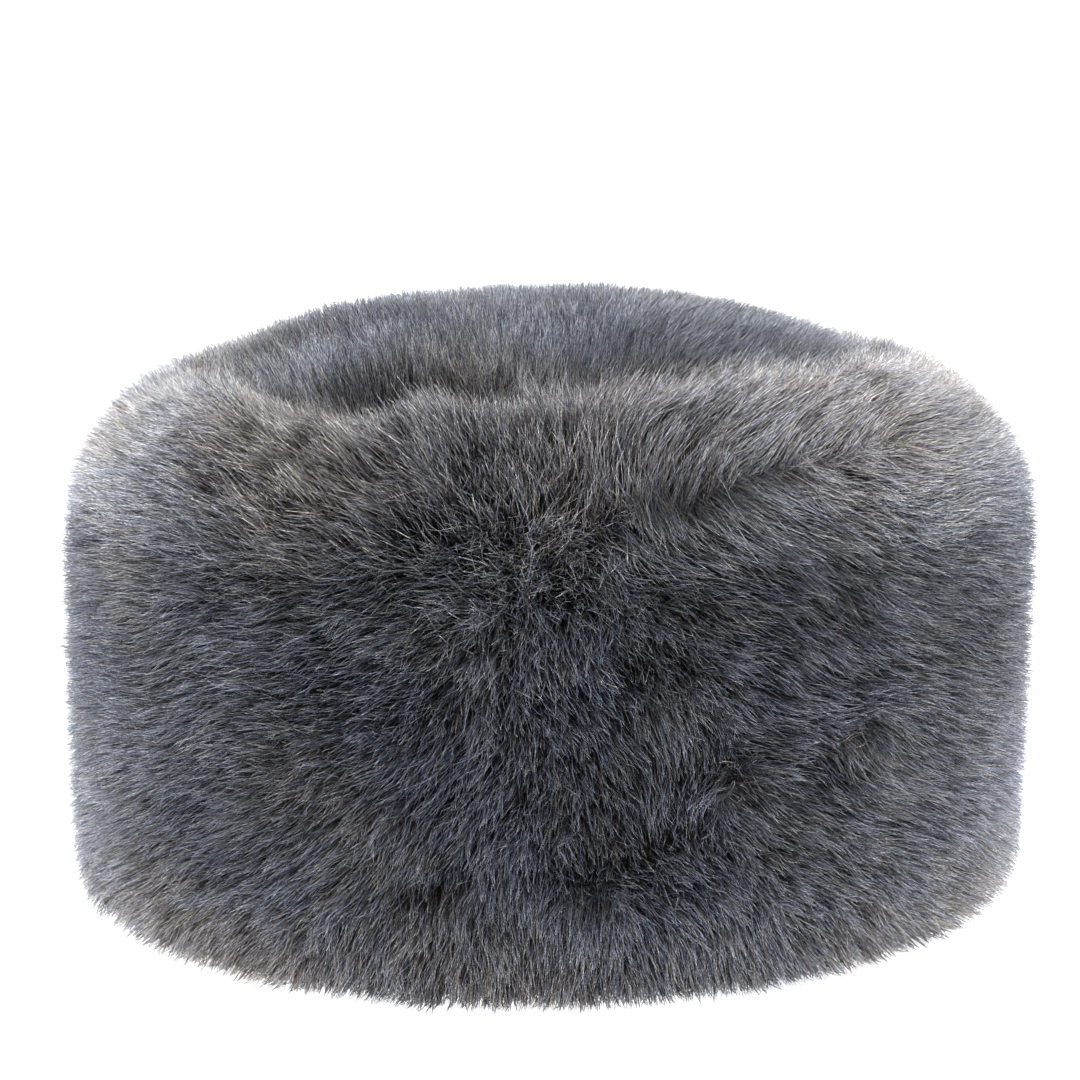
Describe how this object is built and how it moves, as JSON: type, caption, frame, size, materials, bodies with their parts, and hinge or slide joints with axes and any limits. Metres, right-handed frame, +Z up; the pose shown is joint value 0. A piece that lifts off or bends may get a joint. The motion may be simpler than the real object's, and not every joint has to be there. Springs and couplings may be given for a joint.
{
  "type": "cossack hat",
  "caption": "Round brimless hat of deep-pile fur fabric, a tall band with an upper fringe round a slightly domed crown, open below for the head.",
  "frame": {"origin": "centre of the hat's base, on the surface that it rests on", "axes": "+Z up through the crown, -Y towards the hat's front, +X towards the wearer's left"},
  "size_m": [0.2648, 0.265, 0.1606],
  "materials": {
    "band_pile": "deep fur pile, dark at the root and pale grey at the tip",
    "crown_pile": "deep fur pile, dark at the root and pale grey at the tip"
  },
  "bodies": {
    "root": {"side_band": "band_pile", "crown": "crown_pile"}
  },
  "joints": []
}
